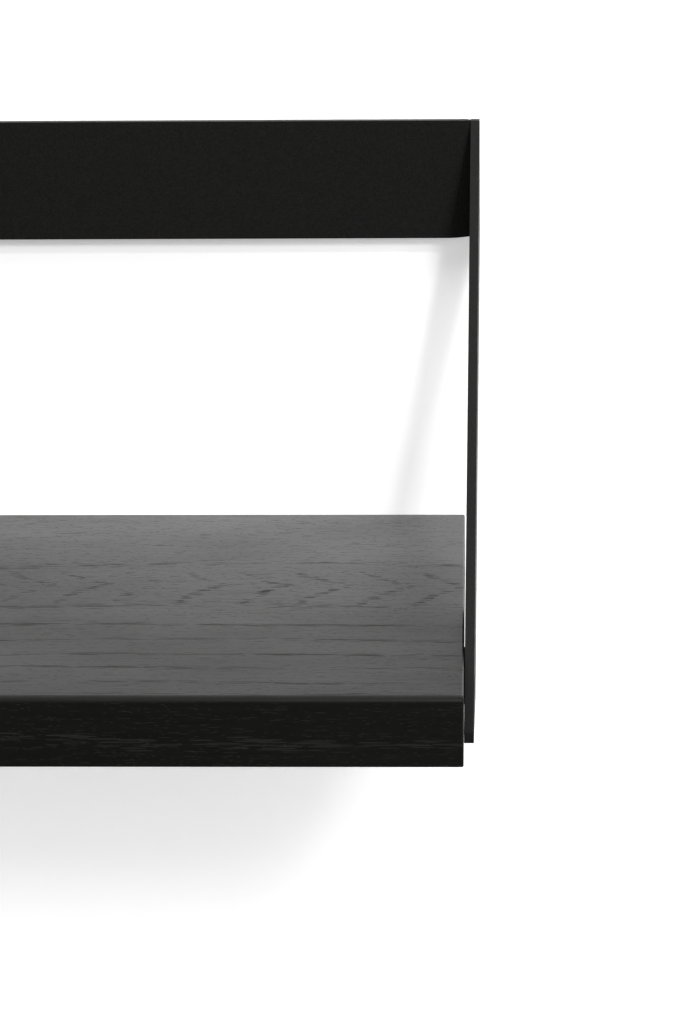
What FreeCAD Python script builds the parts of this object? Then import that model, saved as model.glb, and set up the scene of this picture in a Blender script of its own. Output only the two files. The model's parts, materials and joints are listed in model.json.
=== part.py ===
import FreeCAD, Part

import math
import os

from FreeCAD import Vector

# Wall shelf: a solid oak board carried by a steel frame, which is a flat wall rail with a slanted flat
# strap welded to each end. Millimetres, +Z up. The wall is the plane Y = 0 and the shelf stands out
# towards -Y. The origin is on the wall, midway between the two wall-screw holes of the rail.

# Overall sizes
BOARD_LENGTH = 600.0
OVERALL_DEPTH = 200.0  # wall to the front of the board
OVERALL_HEIGHT = 159.0  # underside of the board to the top of the rail
BOARD_THICKNESS = 22.0
FRONT_EDGE_RADIUS = 2.0  # the board's upper front edge
LONG_EDGE_RADIUS = 0.6  # its other three long edges
END_EDGE_RADIUS = 0.6  # all round each end
WALL_STANDOFF = 0.6  # the bumpers keep the board's back edge this far off the wall

# Steel frame, all from 40 x 3 flat
RAIL_HEIGHT = 40.0
STEEL_THICKNESS = 3.0
STEEL_EDGE_RADIUS = 0.2  # coated, deburred edge
NOSE_REACH = 178.0  # wall to the strap's foremost face
NOSE_HEIGHT = 3.5  # height of that upright face
NOSE_CORNER_RADIUS = 0.3
NOSE_GAP = 0.03  # the strap all but touches the board end at the nose
TOE_IN = 2.15 / 175.0  # tangent of the angle by which the straps lean in towards the nose
WELD_LEG = 1.5
DRESSED_LENGTH = 8.0  # the rail's lower edge is ground back beside each weld
DRESSED_HEIGHT = 0.65

# Wall-screw holes in the rail
WALL_HOLE_SPACING = 250.0
WALL_HOLE_RADIUS = 2.75
WALL_HEAD_RADIUS = 5.3

# M5 joint between strap and board end: two on each side
SCREW_SPACING = 22.0
SCREW_RADIUS = 2.45
SCREW_LENGTH = 16.0
SCREW_HEAD_RADIUS = 4.9
SCREW_TIP_CHAMFER = 0.6
SOCKET_ACROSS_FLATS = 3.0
SOCKET_DEPTH = 1.8
STRAP_HOLE_RADIUS = 2.75
STRAP_SINK_RADIUS = 5.1
THREAD_PITCH = 0.8
THREAD_DEPTH = 0.35
INSERT_RADIUS = 3.95
INSERT_BORE_RADIUS = 2.5
INSERT_LENGTH = 13.0
INSERT_PITCH = 1.6
INSERT_THREAD_DEPTH = 0.7
INSERT_HOLE_RADIUS = 4.0
INSERT_HOLE_DEPTH = 16.0
SPACER_RADIUS = 5.5
SPACER_BORE_RADIUS = 2.7

# Push-in rubber bumpers in the board's back edge
BUMPER_X = 250.0
BUMPER_HEAD_RADIUS = 5.0
BUMPER_HEAD_ROUNDING = 0.3
BUMPER_STEM_RADIUS = 2.0
BUMPER_BARB_RADIUS = 2.15
BUMPER_STEM_LENGTH = 8.0
BUMPER_BARB_LENGTH = 2.5
BUMPER_HOLE_RADIUS = 2.25
BUMPER_HOLE_DEPTH = 9.0

# Levels and places that follow
RAIL_TOP = RAIL_HEIGHT / 2
RAIL_BOTTOM = -RAIL_HEIGHT / 2
BOARD_BOTTOM = RAIL_TOP - OVERALL_HEIGHT
BOARD_TOP = BOARD_BOTTOM + BOARD_THICKNESS
BOARD_MIDDLE = BOARD_BOTTOM + BOARD_THICKNESS / 2
BOARD_END = BOARD_LENGTH / 2
NOSE_TOP = BOARD_BOTTOM + NOSE_HEIGHT
RUN_PER_DROP = (NOSE_REACH - STEEL_THICKNESS) / (RAIL_TOP - NOSE_TOP)  # slope of both strap edges
SCREW_HEAD_RECESS = STRAP_SINK_RADIUS - SCREW_HEAD_RADIUS  # the head seats this far under the face

X_AXIS = Vector(1, 0, 0)
Y_AXIS = Vector(0, 1, 0)
Z_AXIS = Vector(0, 0, 1)
EPSILON = 1e-4


def strap_inner_x(y):
    """X of the right strap's inner face at depth y."""
    return BOARD_END + NOSE_GAP + (y + NOSE_REACH) * TOE_IN


def prism(points, extrusion):
    """Closed polygon of points, extruded along a vector."""
    face = Part.Face(Part.makePolygon([*points, points[0]]))
    return face.extrude(extrusion)


def revolved(profile):
    """Solid of revolution about Z from (radius, height) points, closed along the axis."""
    points = [Vector(radius, 0, height) for radius, height in profile]
    face = Part.Face(Part.makePolygon([*points, points[0]]))
    return face.revolve(Vector(0, 0, 0), Z_AXIS, 360)


def along(shape, base, direction):
    """The shape, modelled from the origin up +Z, set at base and pointing in a direction."""
    placed = shape.copy()
    placed.Placement = FreeCAD.Placement(base, FreeCAD.Rotation(Z_AXIS, direction))
    return placed


def mirrored(shape):
    return shape.mirror(Vector(0, 0, 0), X_AXIS)


def edges_where(shape, test):
    """Edges whose both ends and middle satisfy a test on the point."""
    chosen = []
    for edge in shape.Edges:
        middle = edge.valueAt((edge.FirstParameter + edge.LastParameter) / 2)
        points = [vertex.Point for vertex in edge.Vertexes] + [middle]
        if all(test(point) for point in points):
            chosen.append(edge)
    return chosen


def lengthwise(edges):
    """Those of the edges that run along X."""
    return [edge for edge in edges if abs(edge.tangentAt(edge.FirstParameter).x) > 0.9]


def countersunk_hole(hole_radius, sink_radius, thickness):
    """Cutter up +Z: the cone's wide end is at height 0, the outer face of the plate."""
    sink_depth = sink_radius - hole_radius
    return revolved([
        (0, -1),
        (sink_radius + 1, -1),
        (hole_radius, sink_depth),
        (hole_radius, thickness + 1),
        (0, thickness + 1),
    ])


def ridged_profile(radius, depth, pitch, start, end):
    """(radius, height) points of a row of annular ridges between two heights."""
    points = []
    count = int((end - start) / pitch)
    for number in range(count):
        base = start + number * pitch
        points.append((radius - depth, base))
        points.append((radius, base + pitch / 2))
    points.append((radius - depth, start + count * pitch))
    return points


# ---------------------------------------------------------------- steel frame


def strap_plate():
    """The right strap before its edges are rounded and its holes are drilled."""
    foot_rear = -(RAIL_BOTTOM - BOARD_BOTTOM) * RUN_PER_DROP
    side_view = [
        (0, RAIL_TOP),
        (-STEEL_THICKNESS, RAIL_TOP),
        (-NOSE_REACH, NOSE_TOP),
        (-NOSE_REACH, BOARD_BOTTOM),
        (foot_rear, BOARD_BOTTOM),
        (0, RAIL_BOTTOM),
    ]
    return prism([Vector(strap_inner_x(y), y, z) for y, z in side_view], X_AXIS * STEEL_THICKNESS)


def screw_places():
    """(name, y) of the two strap screws, either side of the strap's middle at mid-board height."""
    front = -STEEL_THICKNESS - (RAIL_TOP - BOARD_MIDDLE) * RUN_PER_DROP
    rear = -(RAIL_BOTTOM - BOARD_MIDDLE) * RUN_PER_DROP
    middle = (front + rear) / 2
    return [("front", middle - SCREW_SPACING / 2), ("rear", middle + SCREW_SPACING / 2)]


def side_strap():
    """Right strap: a slanted flat bar from the rail's end down to the board's end."""
    plate = strap_plate()
    corners = edges_where(
        plate, lambda p: p.z < NOSE_TOP + EPSILON and abs(p.z - BOARD_BOTTOM) < NOSE_HEIGHT + EPSILON
    )
    plate = plate.makeFillet(NOSE_CORNER_RADIUS, lengthwise(corners))
    outline = [
        edge
        for edge in edges_where(plate, lambda p: True)
        if abs(edge.tangentAt(edge.FirstParameter).x) < 0.5
        and not all(abs(vertex.Point.y) < EPSILON for vertex in edge.Vertexes)
    ]
    plate = plate.makeFillet(STEEL_EDGE_RADIUS, outline)
    for _, y in screw_places():
        cutter = countersunk_hole(STRAP_HOLE_RADIUS, STRAP_SINK_RADIUS, STEEL_THICKNESS)
        outer_x = strap_inner_x(y) + STEEL_THICKNESS
        plate = plate.cut(along(cutter, Vector(outer_x, y, BOARD_MIDDLE), -X_AXIS))
    return plate


def dressing_cutter():
    """Removes the ground-back corner of the rail's lower edge beside the right weld."""
    joint_x = strap_inner_x(0)
    start = Vector(joint_x - DRESSED_LENGTH, 1, RAIL_BOTTOM)
    end = Vector(joint_x, 1, RAIL_BOTTOM + DRESSED_HEIGHT)
    sweep_radius = (DRESSED_LENGTH**2 + DRESSED_HEIGHT**2) / (2 * DRESSED_HEIGHT)
    half_angle = math.asin(DRESSED_LENGTH / sweep_radius) / 2
    middle = Vector(
        start.x + sweep_radius * math.sin(half_angle),
        1,
        RAIL_BOTTOM + sweep_radius * (1 - math.cos(half_angle)),
    )
    below = Vector(0, 0, -1)
    beyond = Vector(1, 0, 0)
    wire = Part.Wire([
        Part.Arc(start, middle, end).toShape(),
        Part.makeLine(end, end + beyond),
        Part.makeLine(end + beyond, Vector(end.x + 1, 1, RAIL_BOTTOM - 1)),
        Part.makeLine(Vector(end.x + 1, 1, RAIL_BOTTOM - 1), start + below),
        Part.makeLine(start + below, start),
    ])
    return Part.Face(wire).extrude(-Y_AXIS * (STEEL_THICKNESS + 2))


def top_rail():
    """Flat bar against the wall, with two countersunk wall-screw holes."""
    half_plan = [
        (strap_inner_x(0) - WELD_LEG, 0),
        (strap_inner_x(-WELD_LEG), -WELD_LEG),
        (strap_inner_x(-STEEL_THICKNESS), -STEEL_THICKNESS),
    ]
    plan = half_plan + [(-x, y) for x, y in reversed(half_plan)]
    rail = prism([Vector(x, y, RAIL_BOTTOM) for x, y in plan], Z_AXIS * RAIL_HEIGHT)
    cutter = dressing_cutter()
    rail = rail.cut(cutter).cut(mirrored(cutter))
    rail = rail.makeFillet(STEEL_EDGE_RADIUS, lengthwise(rail.Edges))
    for side in (-1, 1):
        hole = countersunk_hole(WALL_HOLE_RADIUS, WALL_HEAD_RADIUS, STEEL_THICKNESS)
        x = side * WALL_HOLE_SPACING / 2
        rail = rail.cut(along(hole, Vector(x, -STEEL_THICKNESS, 0), Y_AXIS))
    return rail


def back_weld():
    """Groove weld between rail and right strap, ground flush at the back."""
    joint_x = strap_inner_x(0)
    groove = [(joint_x - WELD_LEG, 0), (joint_x, 0), (strap_inner_x(-WELD_LEG), -WELD_LEG)]
    height = RAIL_HEIGHT - DRESSED_HEIGHT - 2 * STEEL_EDGE_RADIUS
    bottom = RAIL_TOP - STEEL_EDGE_RADIUS - height
    return prism([Vector(x, y, bottom) for x, y in groove], Z_AXIS * height)


# ---------------------------------------------------------------- board


def shelf_board():
    """Solid oak board with eased edges, drilled for the inserts and the bumpers."""
    depth = OVERALL_DEPTH - WALL_STANDOFF
    corner = Vector(-BOARD_END, -OVERALL_DEPTH, BOARD_BOTTOM)
    board = Part.makeBox(BOARD_LENGTH, depth, BOARD_THICKNESS, corner)

    def at_upper_front(point):
        return abs(point.y + OVERALL_DEPTH) < EPSILON and abs(point.z - BOARD_TOP) < EPSILON

    other_long = lengthwise(edges_where(board, lambda p: not at_upper_front(p)))
    board = board.makeFillet(LONG_EDGE_RADIUS, other_long)
    board = board.makeFillet(FRONT_EDGE_RADIUS, edges_where(board, at_upper_front))
    ends = edges_where(board, lambda p: abs(abs(p.x) - BOARD_END) < EPSILON)
    board = board.makeFillet(END_EDGE_RADIUS, ends)
    for side in (-1, 1):
        for _, y in screw_places():
            mouth = Vector(side * BOARD_END, y, BOARD_MIDDLE)
            board = board.cut(
                Part.makeCylinder(INSERT_HOLE_RADIUS, INSERT_HOLE_DEPTH, mouth, X_AXIS * -side)
            )
        mouth = Vector(side * BUMPER_X, -WALL_STANDOFF, BOARD_MIDDLE)
        board = board.cut(
            Part.makeCylinder(BUMPER_HOLE_RADIUS, BUMPER_HOLE_DEPTH, mouth, -Y_AXIS)
        )
    return board


def wall_bumper():
    """Right rubber bumper: a flat button on the wall side, with a barbed stem in the board."""
    flat = BUMPER_HEAD_RADIUS - BUMPER_HEAD_ROUNDING
    stem_end = WALL_STANDOFF + BUMPER_STEM_LENGTH
    barb_start = stem_end - BUMPER_BARB_LENGTH
    tip_radius = BUMPER_STEM_RADIUS / 2
    bumper = revolved([
        (0, 0),
        (BUMPER_HEAD_RADIUS, 0),
        (BUMPER_HEAD_RADIUS, WALL_STANDOFF),
        (BUMPER_STEM_RADIUS, WALL_STANDOFF),
        (BUMPER_STEM_RADIUS, barb_start),
        (BUMPER_BARB_RADIUS, barb_start),
        (tip_radius, stem_end),
        (0, stem_end),
    ])
    rim = edges_where(bumper, lambda p: abs(p.z) < EPSILON and math.hypot(p.x, p.y) > flat)
    bumper = bumper.makeFillet(BUMPER_HEAD_ROUNDING, rim)
    return along(bumper, Vector(BUMPER_X, 0, BOARD_MIDDLE), -Y_AXIS)


# ---------------------------------------------------------------- strap to board joint


def threaded_insert(y):
    """Brass insert in the right end of the board."""
    ridges = ridged_profile(INSERT_RADIUS, INSERT_THREAD_DEPTH, INSERT_PITCH, 0, INSERT_LENGTH)
    insert = revolved([
        (INSERT_BORE_RADIUS, 0),
        *ridges,
        (INSERT_RADIUS - INSERT_THREAD_DEPTH, INSERT_LENGTH),
        (INSERT_BORE_RADIUS, INSERT_LENGTH),
    ])
    return along(insert, Vector(BOARD_END, y, BOARD_MIDDLE), -X_AXIS)


def strap_screw(y):
    """M5 countersunk hex-socket screw, head flush in the right strap."""
    cone_end = SCREW_HEAD_RADIUS - SCREW_RADIUS
    tip_start = SCREW_LENGTH - SCREW_TIP_CHAMFER
    thread_start = STEEL_THICKNESS + 1
    root_radius = SCREW_RADIUS - THREAD_DEPTH
    screw = revolved([
        (0, 0),
        (SCREW_HEAD_RADIUS, 0),
        (SCREW_RADIUS, cone_end),
        (SCREW_RADIUS, thread_start),
        *ridged_profile(SCREW_RADIUS, THREAD_DEPTH, THREAD_PITCH, thread_start, tip_start),
        (root_radius, tip_start),
        (root_radius - SCREW_TIP_CHAMFER, SCREW_LENGTH),
        (0, SCREW_LENGTH),
    ])
    corner_radius = SOCKET_ACROSS_FLATS / math.sqrt(3)
    hexagon = [
        Vector(corner_radius * math.cos(turn), corner_radius * math.sin(turn), -1)
        for turn in [math.radians(60 * number) for number in range(6)]
    ]
    screw = screw.cut(prism(hexagon, Z_AXIS * (SOCKET_DEPTH + 1)))
    head_x = strap_inner_x(y) + STEEL_THICKNESS - SCREW_HEAD_RECESS
    return along(screw, Vector(head_x, y, BOARD_MIDDLE), -X_AXIS)


def spacer(y):
    """Nylon spacer round a screw, tapered to fill the gap from board end to strap."""
    base = Vector(BOARD_END, y, BOARD_MIDDLE)
    ring = Part.makeCylinder(SPACER_RADIUS, STEEL_THICKNESS, base, X_AXIS)
    ring = ring.cut(Part.makeCylinder(SPACER_BORE_RADIUS, STEEL_THICKNESS, base, X_AXIS))
    return ring.cut(strap_plate())


def right_hand_pieces():
    """Name and solid of each piece that the shelf has once on each side."""
    pieces = [
        ("side_strap", side_strap()),
        ("back_weld", back_weld()),
        ("wall_bumper", wall_bumper()),
    ]
    for place, y in screw_places():
        pieces.append((f"{place}_insert", threaded_insert(y)))
        pieces.append((f"{place}_screw", strap_screw(y)))
        pieces.append((f"{place}_spacer", spacer(y)))
    return pieces


def export(name, shape):
    if not shape.isValid():
        raise ValueError(f"{name} isn't a valid shape")
    shape.exportStep(f"parts/{name}.step")
    print(f"{name}: {shape.Volume:.1f} mm3, {len(shape.Solids)} solid")


os.makedirs("parts", exist_ok=True)
export("shelf_board", shelf_board())
export("top_rail", top_rail())
for piece_name, solid in right_hand_pieces():
    export(f"right_{piece_name}", solid)
    export(f"left_{piece_name}", mirrored(solid))
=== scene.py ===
import json
import math

import bpy
from mathutils import Matrix, Vector


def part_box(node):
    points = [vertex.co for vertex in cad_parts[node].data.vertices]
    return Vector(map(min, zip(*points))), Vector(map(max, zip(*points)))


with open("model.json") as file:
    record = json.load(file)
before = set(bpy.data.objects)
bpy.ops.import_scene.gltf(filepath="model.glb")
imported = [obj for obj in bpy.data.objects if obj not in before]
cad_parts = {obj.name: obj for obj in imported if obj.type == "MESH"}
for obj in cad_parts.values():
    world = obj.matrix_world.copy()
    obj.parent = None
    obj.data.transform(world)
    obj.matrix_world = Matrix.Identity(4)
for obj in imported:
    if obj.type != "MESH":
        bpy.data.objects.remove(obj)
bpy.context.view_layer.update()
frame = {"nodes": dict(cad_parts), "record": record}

_, BOARD_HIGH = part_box("shelf_board")
MM_PER_METRE = 1000.0


# ---------------------------------------------------------------- camera


# Metres: right of the board's end, out from the wall, and above the board's top
CAMERA_PLACE = Vector((BOARD_HIGH.x + 0.0031, -1.2965, BOARD_HIGH.z + 0.3638))
CAMERA_DOWN = math.radians(15.639)
CAMERA_TURN = math.radians(-2.017)  # to the left of straight at the wall
CAMERA_ROLL = math.radians(-0.610)
LENS_MM = 137.75
SENSOR_MM = 36


def make_camera():
    """Long lens in front of the board's right end, looking slightly down."""
    pitch, yaw, roll = CAMERA_DOWN, CAMERA_TURN, CAMERA_ROLL
    forward = Vector((
        math.sin(yaw) * math.cos(pitch),
        math.cos(yaw) * math.cos(pitch),
        -math.sin(pitch),
    ))
    level = Vector((math.cos(yaw), -math.sin(yaw), 0))
    upright = level.cross(forward)
    right = math.cos(roll) * level + math.sin(roll) * upright
    up = right.cross(forward)
    data = bpy.data.cameras.new("camera")
    data.sensor_width = SENSOR_MM
    data.lens = LENS_MM
    data.clip_start = 0.05
    data.clip_end = 60
    camera = bpy.data.objects.new("camera", data)
    axes = Matrix((right, up, -forward)).transposed()
    camera.matrix_world = Matrix.Translation(CAMERA_PLACE) @ axes.to_4x4()
    bpy.context.scene.collection.objects.link(camera)
    bpy.context.scene.camera = camera


# ---------------------------------------------------------------- light


LAMP_DISTANCE = 2.4  # of the two small lamps from the rail's right end
KEY_DIRECTION = Vector((0.3, -1.0, 0.465))
UPPER_DIRECTION = Vector((0.3, -1.0, 0.80))
ROOM_LIGHT = 0.05
ROOM_SEEN_BY_CAMERA = 0.95


def area_light(name, place, aim, size, power, mirrored=True):
    """Rectangular light; with mirrored off, glossy surfaces don't show it."""
    data = bpy.data.lights.new(name, "AREA")
    data.shape = "RECTANGLE"
    data.size, data.size_y = size
    data.energy = power
    light = bpy.data.objects.new(name, data)
    light.location = place
    light.rotation_euler = (Vector(aim) - Vector(place)).to_track_quat("-Z", "Y").to_euler()
    light.visible_glossy = mirrored
    bpy.context.scene.collection.objects.link(light)


def make_lights():
    """Key from the right, a smaller lamp above it, softboxes all round and a dim room."""
    target = Vector((BOARD_HIGH.x, 0, 0))
    key = target + LAMP_DISTANCE * KEY_DIRECTION.normalized()
    upper = target + LAMP_DISTANCE * UPPER_DIRECTION.normalized()
    area_light("key", key, target, (0.28, 0.28), 15)
    area_light("upper", upper, target, (0.12, 0.12), 11)
    area_light("front", (0.9, -2.4, 1.0), (0.2, 0, 0), (1.6, 1.0), 20, mirrored=False)
    area_light("overhead", (0.3, -0.9, 2.1), (0.2, -0.1, 0), (2.4, 1.2), 8)
    area_light("under", (0, -0.3, -1.0), (0, -0.1, 0), (1.2, 0.3), 1.5)
    area_light("wall_wash", (-0.3, -0.9, 2.2), (0.2, -0.1, 0), (2.4, 1.2), 42, mirrored=False)

    world = bpy.data.worlds.new("studio")
    bpy.context.scene.world = world
    world.use_nodes = True
    nodes, links = world.node_tree.nodes, world.node_tree.links
    background = nodes["Background"]
    background.inputs["Color"].default_value = (1, 1, 1, 1)
    path = nodes.new("ShaderNodeLightPath")
    strength = nodes.new("ShaderNodeMapRange")
    strength.inputs["To Min"].default_value = ROOM_LIGHT
    strength.inputs["To Max"].default_value = ROOM_SEEN_BY_CAMERA
    links.new(path.outputs["Is Camera Ray"], strength.inputs["Value"])
    links.new(strength.outputs["Result"], background.inputs["Strength"])


# ---------------------------------------------------------------- material nodes


class Surface:
    """A Principled material with short calls for the nodes that feed it."""

    def __init__(self, name):
        self.material = bpy.data.materials.new(name)
        self.material.use_nodes = True
        self.nodes = self.material.node_tree.nodes
        self.links = self.material.node_tree.links
        self.shader = self.nodes["Principled BSDF"]

    def feed(self, socket, value):
        if isinstance(value, bpy.types.NodeSocket):
            self.links.new(value, socket)
        else:
            socket.default_value = value

    def math(self, operation, *values):
        node = self.nodes.new("ShaderNodeMath")
        node.operation = operation
        for socket, value in zip(node.inputs, values):
            self.feed(socket, value)
        return node.outputs[0]

    def vector(self, operation, *values):
        node = self.nodes.new("ShaderNodeVectorMath")
        node.operation = operation
        for socket, value in zip(node.inputs, values):
            self.feed(socket, value)
        return node.outputs[0]

    def split(self, vector):
        node = self.nodes.new("ShaderNodeSeparateXYZ")
        self.feed(node.inputs[0], vector)
        return node.outputs[0], node.outputs[1], node.outputs[2]

    def facing_x(self):
        """How squarely the surface faces along X, from 0 to 1."""
        normal = self.nodes.new("ShaderNodeTexCoord").outputs["Normal"]
        return self.math("ABSOLUTE", self.split(normal)[0])

    def place_mm(self, origin):
        """Position on the part in millimetres from an origin given in metres."""
        coordinates = self.nodes.new("ShaderNodeTexCoord").outputs["Object"]
        moved = self.vector("SUBTRACT", coordinates, tuple(origin))
        return self.vector("MULTIPLY", moved, (MM_PER_METRE, MM_PER_METRE, MM_PER_METRE))

    def noise(self, vector, size, detail=2.0):
        """Noise from 0 to 1 whose features are about size (x, y, z) across."""
        node = self.nodes.new("ShaderNodeTexNoise")
        self.feed(node.inputs["Vector"], self.vector("DIVIDE", vector, size))
        node.inputs["Scale"].default_value = 1
        node.inputs["Detail"].default_value = detail
        return node.outputs["Fac"]

    def swing(self, vector, size, amount, detail=2.0):
        """Noise about 0 that reaches roughly plus or minus amount."""
        centred = self.math("SUBTRACT", self.noise(vector, size, detail), 0.5)
        return self.math("MULTIPLY", centred, 4 * amount)

    def cells(self, vector, size):
        """Distance to the nearest random point, in cells of a size, and that point's place."""
        node = self.nodes.new("ShaderNodeTexVoronoi")
        self.feed(node.inputs["Vector"], self.vector("DIVIDE", vector, size))
        node.inputs["Scale"].default_value = 1
        return node.outputs["Distance"], self.vector("MULTIPLY", node.outputs["Position"], size)

    def ramp(self, value, start, end, low=0.0, high=1.0):
        """Smooth step of a value from low at start to high at end."""
        node = self.nodes.new("ShaderNodeMapRange")
        node.interpolation_type = "SMOOTHSTEP"
        for socket, given in zip(node.inputs, (value, start, end, low, high)):
            self.feed(socket, given)
        return node.outputs["Result"]

    def blend(self, share, first, second):
        """Number that goes from first to second as the share goes from 0 to 1."""
        node = self.nodes.new("ShaderNodeMix")
        for socket, value in zip(node.inputs, (share, None, first, second)):
            if value is not None:
                self.feed(socket, value)
        return node.outputs[0]

    def colour(self, share, first, second):
        node = self.nodes.new("ShaderNodeMix")
        node.data_type = "RGBA"
        self.feed(node.inputs["Factor"], share)
        self.feed(node.inputs[6], (*first, 1))
        self.feed(node.inputs[7], (*second, 1))
        return node.outputs[2]

    def finish(self, colour, roughness, height, depth_mm, **settings):
        """Connects colour, roughness and bump; settings are uniform shader values."""
        self.feed(self.shader.inputs["Base Color"], colour)
        self.feed(self.shader.inputs["Roughness"], roughness)
        bump = self.nodes.new("ShaderNodeBump")
        bump.inputs["Distance"].default_value = depth_mm / MM_PER_METRE
        self.links.new(height, bump.inputs["Height"])
        self.links.new(bump.outputs["Normal"], self.shader.inputs["Normal"])
        for name, value in settings.items():
            self.shader.inputs[name.replace("_", " ")].default_value = value
        return self.material


# ---------------------------------------------------------------- backdrop


WALL_Y = 0.005
FLOOR_Z = -1.1
WALL_GLOW = 0.4
FLOOR_GLOW = 0.02
PAINTED_REFLECTION_GLOW = 0.75  # painted reflection: extra glow, seen only by glossy rays, on the strip of wall that the board's top mirrors
LOW_BAND_LEFT_SHARE = 0.32
# Metres above the board's top at which the strip begins and is whole, from below and from above
LOW_BAND_FROM_BELOW = (-0.008, 0.002)
LOW_BAND_FROM_ABOVE = (0.034, 0.004)
LOW_BAND_FROM_LEFT = (0.05, 0.26)  # x in metres at which it begins to grow and is whole


def backdrop_paint(name, colour):
    """Matt finish that shows only from the front, so that the backdrop never hides the shelf."""
    paint = Surface(name)
    matt = paint.shader
    matt.inputs["Base Color"].default_value = (*colour, 1)
    matt.inputs["Roughness"].default_value = 1
    matt.inputs["Specular IOR Level"].default_value = 0
    matt.inputs["Emission Color"].default_value = (1, 1, 1, 1)
    clear = paint.nodes.new("ShaderNodeBsdfTransparent")
    mix = paint.nodes.new("ShaderNodeMixShader")
    side = paint.nodes.new("ShaderNodeNewGeometry")
    paint.links.new(side.outputs["Backfacing"], mix.inputs["Fac"])
    paint.links.new(matt.outputs[0], mix.inputs[1])
    paint.links.new(clear.outputs[0], mix.inputs[2])
    paint.links.new(mix.outputs[0], paint.nodes["Material Output"].inputs["Surface"])
    return paint


def wall_glow(paint):
    """Glow of the wall, with a painted reflection: glossy rays alone see an extra glowing strip just above
    the board, most near its right end.
    """
    x, _, z = paint.split(paint.nodes.new("ShaderNodeTexCoord").outputs["Object"])
    below = [BOARD_HIGH.z + height for height in LOW_BAND_FROM_BELOW]
    above = [BOARD_HIGH.z + height for height in LOW_BAND_FROM_ABOVE]
    mirrored = paint.nodes.new("ShaderNodeLightPath").outputs["Is Glossy Ray"]
    lower_edge = paint.ramp(z, *below, 0.0, PAINTED_REFLECTION_GLOW)
    upper_edge = paint.ramp(z, *above)
    sideways = paint.ramp(x, *LOW_BAND_FROM_LEFT, LOW_BAND_LEFT_SHARE, 1.0)
    # painted reflection: the strip glows only for glossy rays, to brighten the board's top where it
    # mirrors the wall
    band = paint.math("MULTIPLY", paint.math("MULTIPLY", lower_edge, upper_edge), sideways)
    return paint.math("ADD", paint.math("MULTIPLY", mirrored, band), WALL_GLOW)


def panel(name, corners, paint):
    mesh = bpy.data.meshes.new(name)
    mesh.from_pydata(corners, [], [range(len(corners))])
    obj = bpy.data.objects.new(name, mesh)
    mesh.materials.append(paint.material)
    bpy.context.scene.collection.objects.link(obj)
    return obj


def make_backdrop():
    reach, high, front = 3.0, 2.4, -1.7
    wall_paint = backdrop_paint("wall_paint", (0.92, 0.92, 0.92))
    wall_paint.feed(wall_paint.shader.inputs["Emission Strength"], wall_glow(wall_paint))
    panel("wall", [
        (-reach, WALL_Y, FLOOR_Z),
        (reach, WALL_Y, FLOOR_Z),
        (reach, WALL_Y, high),
        (-reach, WALL_Y, high),
    ], wall_paint)
    floor_paint = backdrop_paint("floor_paint", (0.8, 0.8, 0.8))
    floor_paint.feed(floor_paint.shader.inputs["Emission Strength"], FLOOR_GLOW)
    floor = panel("floor", [
        (-reach, front, FLOOR_Z),
        (reach, front, FLOOR_Z),
        (reach, WALL_Y, FLOOR_Z),
        (-reach, WALL_Y, FLOOR_Z),
    ], floor_paint)
    floor.visible_glossy = False


# ---------------------------------------------------------------- finishes


ARCH_LINE = -85.0  # mm from the wall to the line of the grain's arches
ARCH_HALF_WIDTH = 22.0
ARCH_SPACING = 19.0
ARCH_BEND = 0.57  # below 1, so that an arch is sharpest at its tip
ARCH_STRETCH = 3.05
WALL_SIDE_STRETCH = 1.55  # the arches are narrower on the side of the wall
HEART_HEIGHT = 60.0  # the tree's centre, above the board's top
RING_WIDTH = 10.5
PORE_BAND_SHARE = 0.24  # of each growth ring
SMALLEST_PORE = 0.14  # radius in cells of the pores' pattern
CROWDED_PORE_GROWTH = 0.42
PORE_SOFT_EDGE = 0.06


def across_grain(oak, place):
    """Place in mm across the line of the arches, its distance from that line, stretched on the side of the
    wall, and how far it belongs to the arches, from 0 to 1.
    """
    _, y, _ = oak.split(place)
    wander = oak.swing(place, (150, 400, 60), 3.0)
    ragged = oak.swing(place, (9, 2.5, 2.5), 0.5)
    across = oak.math("ADD", oak.math("SUBTRACT", y, ARCH_LINE), oak.math("ADD", wander, ragged))
    on_wall_side = oak.math("GREATER_THAN", across, 0)
    stretch = oak.blend(on_wall_side, 1.0, WALL_SIDE_STRETCH)
    reach = oak.math("MULTIPLY", oak.math("ABSOLUTE", across), stretch)
    in_arches = oak.ramp(reach, ARCH_HALF_WIDTH + 5, ARCH_HALF_WIDTH - 5)
    return across, reach, in_arches


def pore_band(oak, ring):
    """1 where a growth ring starts, falling to 0 within the first part of it."""
    part = oak.math("FRACT", ring)
    return oak.math("MULTIPLY", oak.ramp(part, PORE_BAND_SHARE, 0.05), oak.ramp(part, 0.0, 0.03))


def arch_pores(oak, place):
    """How closely pores stand in the pointed arches, whose tips point to the right end."""
    x, _, z = oak.split(place)
    _, reach, in_arches = across_grain(oak, place)
    arm = oak.math("MULTIPLY", oak.math("POWER", reach, ARCH_BEND), ARCH_STRETCH)
    drift = oak.swing(place, (90, 60, 30), 5.0)
    along = oak.math("ADD", oak.math("ADD", x, z), oak.math("ADD", arm, drift))
    band = pore_band(oak, oak.math("DIVIDE", along, ARCH_SPACING))
    return oak.math("MULTIPLY", band, in_arches)


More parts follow.
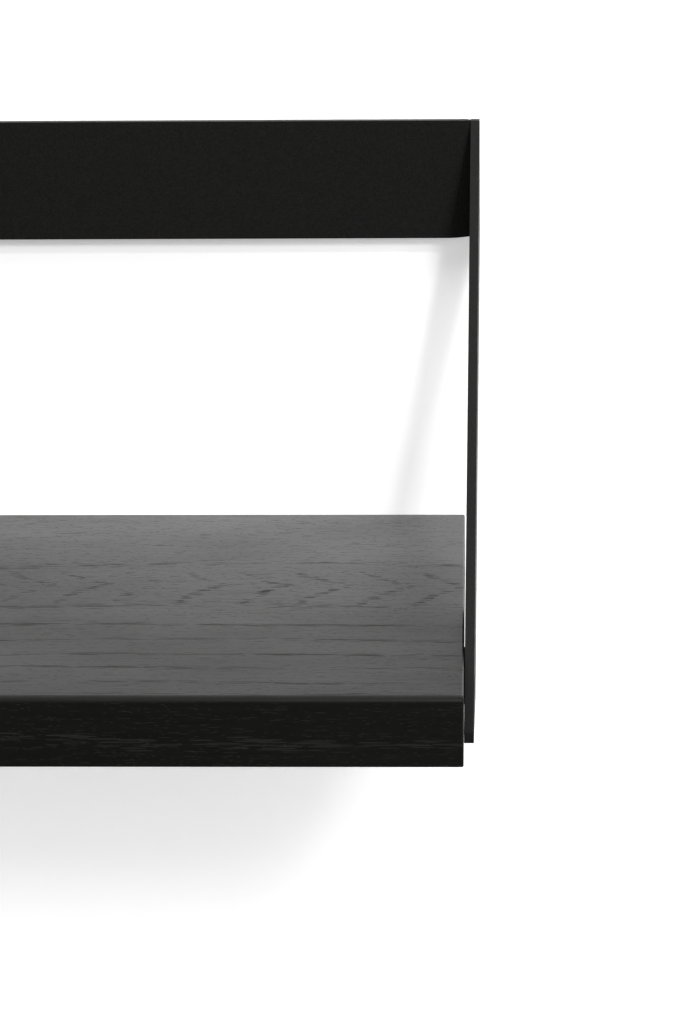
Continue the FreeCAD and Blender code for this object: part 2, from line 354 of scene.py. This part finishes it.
def line_pores(oak, place):
    """How closely pores stand in the straight rings beside the arches, fewer towards the wall."""
    _, _, z = oak.split(place)
    across, _, in_arches = across_grain(oak, place)
    below_heart = oak.math("SUBTRACT", HEART_HEIGHT, z)
    square = oak.math("ADD", oak.math("POWER", across, 2.0), oak.math("POWER", below_heart, 2.0))
    radius = oak.math("SQRT", square)
    waver = oak.swing(place, (130, 25, 25), 2.5)
    band = pore_band(oak, oak.math("DIVIDE", oak.math("ADD", radius, waver), RING_WIDTH))
    beside = oak.math("SUBTRACT", 1.0, in_arches)
    return oak.math("MULTIPLY", oak.math("MULTIPLY", band, beside), oak.ramp(across, 14, 30, 1.0, 0.25))


def pores(oak, place, size, crowd):
    """1 inside thin pores of a length and width in mm, wider where crowd(place) is high."""
    distance, centre = oak.cells(place, size)
    strength = oak.ramp(oak.noise(centre, (45, 9, 9)), 0.30, 0.60, 0.40, 1.0)
    crowding = oak.math("MULTIPLY", crowd(oak, centre), strength)
    limit = oak.math("ADD", SMALLEST_PORE, oak.math("MULTIPLY", crowding, CROWDED_PORE_GROWTH))
    return oak.ramp(oak.math("SUBTRACT", distance, limit), PORE_SOFT_EDGE, -PORE_SOFT_EDGE)


def black_oak():
    """Black-stained plain-sawn oak under a satin coat, with its grain along X.

    Places are in millimetres from the top of the board's right end at the wall. Growth rings meet the top
    face as a row of pointed arches along one line, and as straight lines on both sides of it.
    """
    oak = Surface("black_oak")
    place = oak.place_mm((BOARD_HIGH.x, 0, BOARD_HIGH.z))
    short = pores(oak, place, (3.8, 0.55, 0.55), arch_pores)
    long = pores(oak, place, (11.0, 0.5, 0.5), line_pores)
    pore = oak.math("MAXIMUM", short, long)

    fibre = oak.noise(place, (28, 0.9, 0.9), 3.0)
    patch = oak.noise(place, (120, 40, 40))
    tone = oak.math("ADD", oak.math("MULTIPLY", pore, 0.75), oak.math("MULTIPLY", fibre, 0.25))
    colour = oak.colour(tone, (0.0044, 0.0044, 0.0040), (0.0148, 0.0145, 0.0134))
    sheen = oak.math("ADD", oak.ramp(fibre, 0.3, 0.7, 0.37, 0.42), oak.ramp(patch, 0.3, 0.7, -0.02, 0.04))
    end_grain = oak.ramp(oak.facing_x(), 0.80, 0.98)
    roughness = oak.blend(end_grain, oak.blend(pore, sheen, 0.72), 0.95)
    height = oak.math("SUBTRACT", oak.math("MULTIPLY", fibre, 0.12), pore)
    return oak.finish(colour, roughness, height, 0.12, Specular_IOR_Level=0.23)


def black_steel():
    """Fine-textured black powder coat."""
    steel = Surface("black_steel")
    place = steel.place_mm((0, 0, 0))
    grit = steel.noise(place, (0.35, 0.35, 0.35), 3.0)
    orange_peel = steel.noise(place, (1.6, 1.6, 1.6), 1.0)
    cloud = steel.noise(place, (60, 60, 60))
    colour = steel.colour(steel.ramp(grit, 0.3, 0.7), (0.0080, 0.0077, 0.0075), (0.0150, 0.0145, 0.0141))
    uneven = steel.ramp(cloud, 0.3, 0.7, -0.03, 0.03)
    roughness = steel.math("ADD", steel.ramp(grit, 0.3, 0.7, 0.42, 0.52), uneven)
    height = steel.math("ADD", grit, steel.math("MULTIPLY", orange_peel, 0.8))
    return steel.finish(colour, roughness, height, 0.03, Specular_IOR_Level=0.10)


def black_screw():
    """Black-oxide steel, turned on the head, with the oil's uneven sheen."""
    screw = Surface("black_screw")
    place = screw.place_mm((0, 0, 0))
    oil = screw.noise(place, (1.8, 1.8, 1.8), 3.0)
    scratch = screw.noise(place, (0.12, 0.6, 0.12), 2.0)
    colour = screw.colour(screw.ramp(oil, 0.3, 0.7), (0.020, 0.020, 0.022), (0.052, 0.050, 0.048))
    roughness = screw.ramp(oil, 0.3, 0.7, 0.36, 0.52)
    return screw.finish(colour, roughness, scratch, 0.01, Metallic=0.85)


def brass_insert():
    """Turned brass, dulled in patches, with tool marks round its axis."""
    brass = Surface("brass_insert")
    place = brass.place_mm((0, 0, 0))
    dull = brass.noise(place, (2.5, 2.5, 2.5), 3.0)
    tool_mark = brass.noise(place, (0.09, 30, 30), 1.0)
    colour = brass.colour(brass.ramp(dull, 0.35, 0.7), (0.74, 0.53, 0.24), (0.50, 0.33, 0.14))
    roughness = brass.ramp(dull, 0.35, 0.7, 0.24, 0.42)
    return brass.finish(colour, roughness, tool_mark, 0.015, Metallic=1.0)


def black_nylon():
    """Moulded nylon with a fine matt grain."""
    nylon = Surface("black_nylon")
    place = nylon.place_mm((0, 0, 0))
    grain = nylon.noise(place, (0.22, 0.22, 0.22), 2.0)
    flow = nylon.noise(place, (3, 3, 3))
    colour = nylon.colour(nylon.ramp(flow, 0.3, 0.7), (0.010, 0.010, 0.010), (0.016, 0.016, 0.016))
    roughness = nylon.ramp(grain, 0.3, 0.7, 0.50, 0.64)
    return nylon.finish(colour, roughness, grain, 0.02)


def bumper_rubber():
    """Dull rubber with a trace of bloom."""
    rubber = Surface("bumper_rubber")
    place = rubber.place_mm((0, 0, 0))
    grain = rubber.noise(place, (0.3, 0.3, 0.3), 3.0)
    bloom = rubber.noise(place, (2.2, 2.2, 2.2), 2.0)
    colour = rubber.colour(rubber.ramp(bloom, 0.4, 0.75), (0.009, 0.009, 0.009), (0.028, 0.028, 0.028))
    roughness = rubber.ramp(bloom, 0.3, 0.7, 0.72, 0.90)
    return rubber.finish(colour, roughness, grain, 0.03)


def finish_nodes():
    """Gives each CAD node the finish that the record names for it."""
    finishes = {
        make.__name__: make()
        for make in (black_oak, black_steel, black_screw, brass_insert, black_nylon, bumper_rubber)
    }
    for part in frame["record"]["subparts"]:
        mesh = frame["nodes"][part["node"]].data
        mesh.materials.clear()
        mesh.materials.append(finishes[part["material_slot"]])


make_camera()
make_lights()
make_backdrop()
finish_nodes()
bpy.context.scene.view_settings.view_transform = "Standard"
